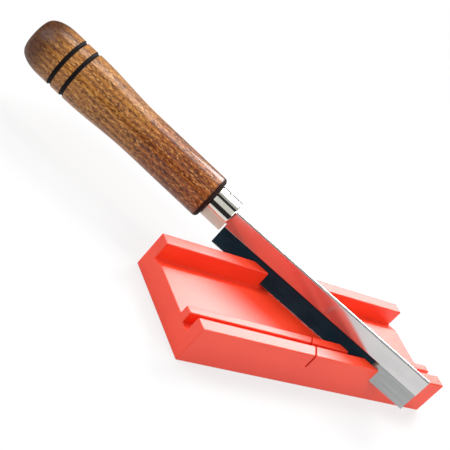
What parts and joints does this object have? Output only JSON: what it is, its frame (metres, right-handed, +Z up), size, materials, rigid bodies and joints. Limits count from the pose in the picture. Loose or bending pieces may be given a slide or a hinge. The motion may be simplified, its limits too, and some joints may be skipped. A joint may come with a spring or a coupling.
{
  "type": "mitre box with saw",
  "caption": "Low red plastic mitre box with a strip groove and angled saw slots, and a fine-toothed backsaw with a turned wooden handle that slides in the 45 degree slot.",
  "frame": {"origin": "middle of the box's flat underside, on the bench", "axes": "+X along the box, +Y from the front wall to the back wall, +Z up from the bench"},
  "size_m": [0.2172, 0.1809, 0.0459],
  "materials": {
    "red_plastic": "glossy injection moulded red plastic",
    "blued_steel": "blued spring steel with a bare ground toe",
    "polished_steel": "polished bright steel",
    "raw_steel": "plain forged steel",
    "plated_ferrule": "bright nickel plate",
    "stained_wood": "stained and varnished turned hardwood with burnt grooves"
  },
  "bodies": {
    "box": {"mitre_box": "red_plastic"},
    "saw": {"saw_blade": "blued_steel", "saw_back": "polished_steel", "tang": "raw_steel", "tang_rivets": "raw_steel", "ferrule": "plated_ferrule", "ferrule_pin": "raw_steel", "handle": "stained_wood"}
  },
  "joints": [
    {"name": "saw_stroke", "type": "slide", "parent": "box", "child": "saw", "axis": [0.7071, -0.7071, 0], "range_m": [-0.024, 0.02]}
  ]
}
